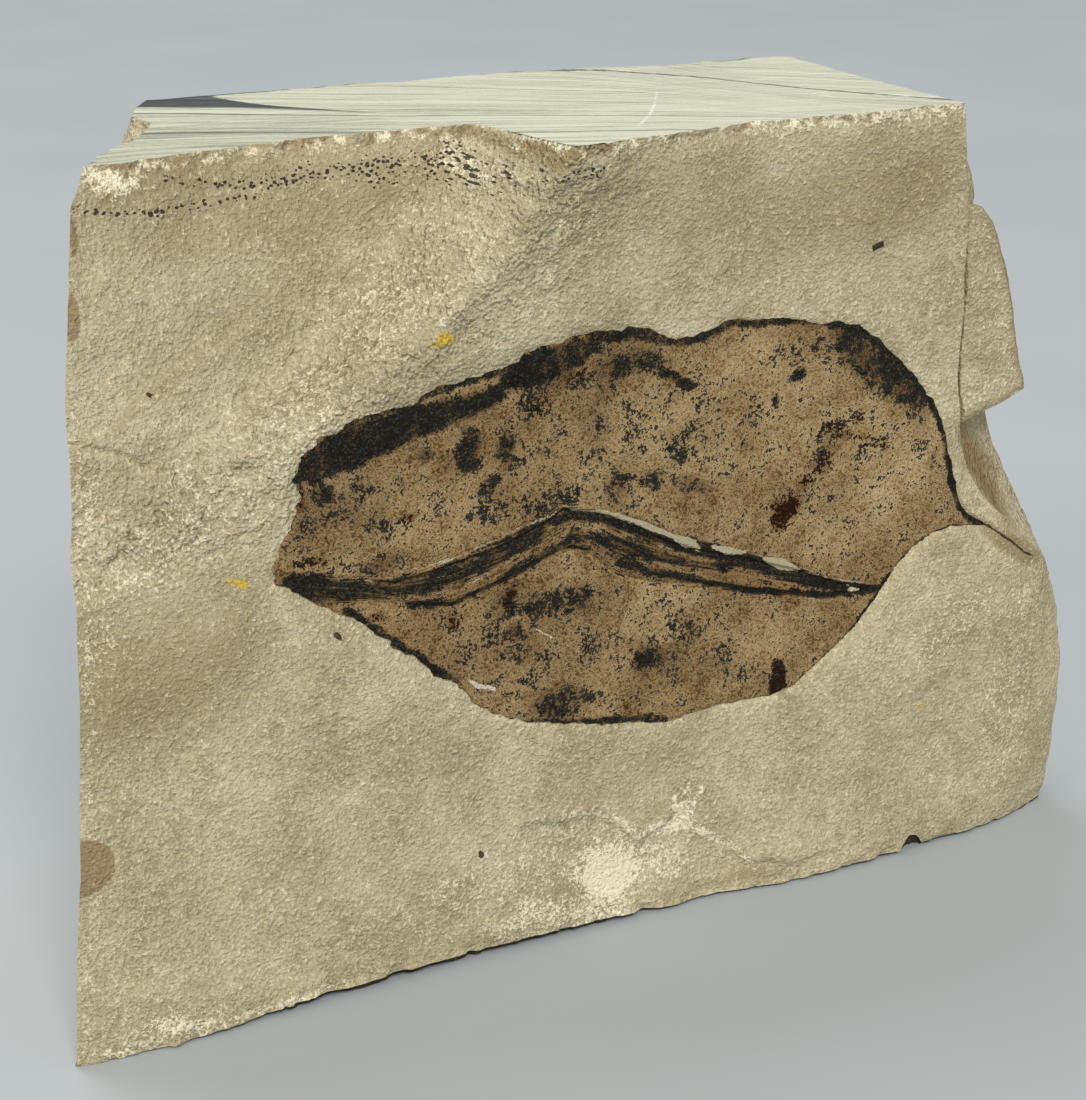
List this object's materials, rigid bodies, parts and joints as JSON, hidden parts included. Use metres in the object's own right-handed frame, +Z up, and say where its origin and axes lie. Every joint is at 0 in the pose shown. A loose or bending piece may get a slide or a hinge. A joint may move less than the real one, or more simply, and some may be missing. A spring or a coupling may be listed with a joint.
{
  "type": "fossil leaf plate",
  "caption": "Broken block of pale bedded mudstone with a sawn flat top and a carbonised fossil leaf on its front face; stands on its flat base.",
  "frame": {"origin": "middle of the bottom of the bounding box, on the plane that the block stands on", "axes": "+X along the leaf to the viewer's right, +Y from the leaf face to the back, +Z up"},
  "size_m": [0.1122, 0.047, 0.079],
  "materials": {
    "stone": "matt, finely rough split mudstone, grey buff, with a paler sawn top",
    "leaf": "satin brown carbonised film with black and rust-coloured patches"
  },
  "bodies": {
    "root": {"stone": "stone", "leaf": "leaf"}
  },
  "joints": []
}
